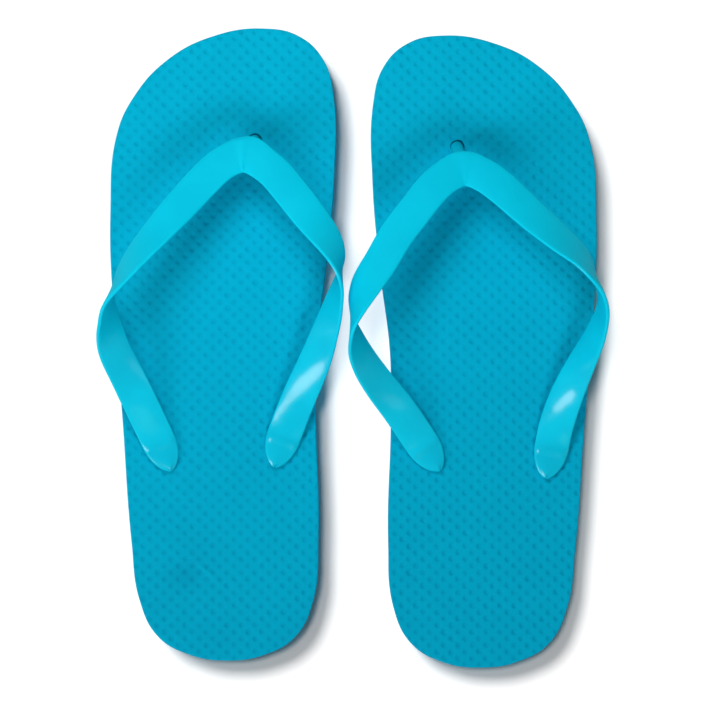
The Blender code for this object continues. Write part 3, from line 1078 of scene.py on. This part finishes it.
def foam_material(name, light, dark):
    """Matte closed-cell foam: cloudy colour, painted shade in its hollows and towards the heel, and a fine
    porous skin.
    """
    nodes = Nodes(name)
    shader = nodes.shader
    cloud = nodes.spread(nodes.noise(*FOAM_CLOUD), *NOISE_RANGE, 0.0, FOAM_CLOUD_SHADE)
    speckle = nodes.spread(nodes.noise(*FOAM_SPECKLE), *SPECKLE_RANGE, 0.0, FOAM_SPECKLE_SHADE)
    # Painted shade in the dimples, dents and tread grooves.
    pit = nodes.math("MULTIPLY", nodes.attribute("pit").outputs["Fac"], PIT_SHADE)
    split = nodes.add("ShaderNodeSeparateXYZ")
    nodes.link(nodes.attribute("place").outputs["Vector"], split.inputs["Vector"])
    # Painted shade towards the heel, standing in for the light falling off there.
    painted_heel_shade = nodes.spread(split.outputs["Y"], *HEEL_SHADE_RANGE, HEEL_SHADE, 0.0)
    amount = nodes.math("ADD", nodes.math("ADD", cloud, speckle), nodes.math("ADD", pit, painted_heel_shade))
    nodes.link(nodes.mix(amount, light, dark), shader.inputs["Base Color"])
    skin = nodes.spread(nodes.noise(*FOAM_SKIN), *NOISE_RANGE, *FOAM_ROUGHNESS)
    nodes.link(skin, shader.inputs["Roughness"])
    shader.inputs["Specular IOR Level"].default_value = FOAM_LEVEL
    pores = nodes.bump(nodes.noise(*FOAM_PORES), *PORE_BUMP)
    nodes.link(nodes.bump(nodes.noise(*FOAM_SWELL), *FOAM_SWELL_BUMP, pores), shader.inputs["Normal"])
    return nodes.material


def moulding_material(name, light, dark, gloss):
    """Soft moulding, with a painted highlight along its thin rims and ridge and painted shade at its
    flattened tongue ends.

    Gloss is the specular level, the roughness and the depth of the grain.
    """
    nodes = Nodes(name)
    shader = nodes.shader
    level, roughness, depth = gloss
    cloud = nodes.spread(nodes.noise(*MOULDING_CLOUD), *NOISE_RANGE, 0.0, MOULDING_CLOUD_SHADE)
    # Painted highlight along the rims and the ridge.
    rim = nodes.math("MULTIPLY", nodes.attribute("rim").outputs["Fac"], RIM_HIGHLIGHT)
    # Painted shade at the flattened tongue ends.
    thick = nodes.math("MULTIPLY", nodes.attribute("thick").outputs["Fac"], TONGUE_SHADE)
    amount = nodes.math("SUBTRACT", nodes.math("ADD", cloud, thick), rim)
    nodes.link(nodes.mix(amount, light, dark), shader.inputs["Base Color"])
    smoothest = roughness - ROUGHNESS_SPREAD
    roughest = roughness + ROUGHNESS_SPREAD
    sheen = nodes.spread(nodes.noise(*MOULDING_SHEEN), *NOISE_RANGE, smoothest, roughest)
    nodes.link(sheen, shader.inputs["Roughness"])
    shader.inputs["Specular IOR Level"].default_value = level
    grain = nodes.bump(nodes.noise(*MOULDING_GRAIN), depth, GRAIN_STRENGTH)
    nodes.link(nodes.bump(nodes.noise(*MOULDING_SWELL), *MOULDING_SWELL_BUMP, grain), shader.inputs["Normal"])
    return nodes.material


def dress(piece, *materials):
    """Gives a piece its materials."""
    for material in materials:
        piece.data.materials.append(material)


def bend(piece):
    """Bakes the piece's transform into its mesh."""
    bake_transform(piece)


def sandal(side, materials):
    """Builds one sandal and hangs its toe post and side plugs on their bodies."""
    loop = outline(side)
    sheet = footbed(side, loop)
    base = outsole(side, loop)
    band = strap(side)
    sole_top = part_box(side + "_footbed_rear")[1].z / MM
    post = toe_post(side, sole_top)
    dress(sheet, materials["footbed"])
    dress(base, materials["outsole"])
    dress(band, materials["strap"], materials["strap_foot_side"])
    dress(post, materials["plug"])
    bend(sheet)
    bend(base)
    bend(band)
    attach(post, side + "_toe")
    pieces = [sheet, base, band, post]
    for place in ("outer", "inner"):
        plug = side_plug(side, place)
        dress(plug, materials["plug"])
        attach(plug, side + "_heel")
        pieces.append(plug)
    return pieces


def floor():
    """Lays the pale floor, which doesn't show in gloss."""
    mesh = bpy.data.meshes.new("studio_floor")
    bm = bmesh.new()
    bmesh.ops.create_grid(bm, x_segments=1, y_segments=1, size=FLOOR_SIZE / 2)
    bm.to_mesh(mesh)
    bm.free()
    ground = bpy.data.objects.new("studio_floor", mesh)
    bpy.context.scene.collection.objects.link(ground)
    material = bpy.data.materials.new("studio_floor")
    material.use_nodes = True
    shader = material.node_tree.nodes["Principled BSDF"]
    shader.inputs["Base Color"].default_value = FLOOR_COLOUR
    shader.inputs["Roughness"].default_value = 1.0
    shader.inputs["Specular IOR Level"].default_value = 0.0
    ground.data.materials.append(material)
    ground.visible_glossy = False
    return ground


def linked(name, things):
    """Gathers objects that a lamp is limited to."""
    group = bpy.data.collections.new(name)
    for thing in things:
        group.objects.link(thing)
    return group


def oval_lamp(name, settings, lit):
    """Hangs an oval softbox that lights only the given objects."""
    place, width, height, power, in_gloss = settings
    light = bpy.data.lights.new(name, "AREA")
    light.shape = "ELLIPSE"
    light.size = width
    light.size_y = height
    light.energy = power
    lamp = bpy.data.objects.new(name, light)
    lamp.location = place
    lamp.rotation_mode = "QUATERNION"
    lamp.rotation_quaternion = (Vector(place) - Vector(LIGHTS_AIM)).to_track_quat("Z", "Y")
    bpy.context.scene.collection.objects.link(lamp)
    lamp.visible_glossy = in_gloss
    lamp.light_linking.receiver_collection = lit


def surround():
    """Makes an even pale surround that is a little dimmer overhead than at the horizon."""
    world = bpy.data.worlds.new("surround")
    world.use_nodes = True
    tree = world.node_tree
    direction = tree.nodes.new("ShaderNodeTexCoord")
    split = tree.nodes.new("ShaderNodeSeparateXYZ")
    strength = tree.nodes.new("ShaderNodeMapRange")
    strength.inputs["To Min"].default_value = HORIZON_STRENGTH
    strength.inputs["To Max"].default_value = ZENITH_STRENGTH
    background = tree.nodes["Background"]
    background.inputs["Color"].default_value = (1.0, 1.0, 1.0, 1.0)
    tree.links.new(direction.outputs["Generated"], split.inputs["Vector"])
    tree.links.new(split.outputs["Z"], strength.inputs["Value"])
    tree.links.new(strength.outputs["Result"], background.inputs["Strength"])
    bpy.context.scene.world = world


def floor_sun(settings, ground, pieces):
    """Adds a sun that lights only the floor and is blocked only by some of the pieces."""
    direction, strength, angle, colour, endings = settings
    sun = bpy.data.lights.new("floor_sun", "SUN")
    sun.energy = strength
    sun.color = colour
    sun.angle = math.radians(angle)
    lamp = bpy.data.objects.new("floor_sun", sun)
    lamp.rotation_mode = "QUATERNION"
    lamp.rotation_quaternion = Vector(direction).to_track_quat("Z", "Y")
    bpy.context.scene.collection.objects.link(lamp)
    lamp.light_linking.receiver_collection = linked("lit_floor", [ground])
    lamp.light_linking.blocker_collection = linked(
        "floor_shade", [piece for piece in pieces if piece.name.endswith(endings)]
    )


def lights(pieces, ground):
    """Sets the studio's lamps and its surround."""
    lit = linked("lit_sandals", pieces)
    oval_lamp("top_light", TOP_LIGHT, lit)
    oval_lamp("softbox", SOFTBOX, lit)
    oval_lamp("side_light", SIDE_LIGHT, lit)
    oval_lamp("heel_light", HEEL_LIGHT, lit)
    for settings in FLOOR_SUNS:
        floor_sun(settings, ground, pieces)
    surround()


def camera():
    """Looks straight down on the pair."""
    view = bpy.data.cameras.new("camera")
    view.lens = CAMERA_LENS
    view.sensor_width = SENSOR_WIDTH
    view.clip_start, view.clip_end = CLIP_RANGE
    eye = bpy.data.objects.new("camera", view)
    eye.location = Vector(CAMERA_PLACE) * MM
    bpy.context.scene.collection.objects.link(eye)
    bpy.context.scene.camera = eye


def build():
    """Builds everything."""
    materials = {
        "footbed": foam_material("footbed_foam", FOAM_LIGHT, FOAM_DARK),
        "outsole": foam_material("outsole_foam", OUTSOLE_LIGHT, OUTSOLE_DARK),
        "strap": moulding_material("strap_outer_face", STRAP_LIGHT, STRAP_DARK, SATIN),
        "strap_foot_side": moulding_material("strap_foot_side", FOOT_SIDE_LIGHT, FOOT_SIDE_DARK, GLOSSY),
        "plug": moulding_material("plug_moulding", STRAP_LIGHT, STRAP_DARK, SATIN),
    }
    pieces = sandal("left", materials) + sandal("right", materials)
    lights(pieces, floor())
    camera()
    bpy.context.scene.view_settings.view_transform = "Standard"


build()
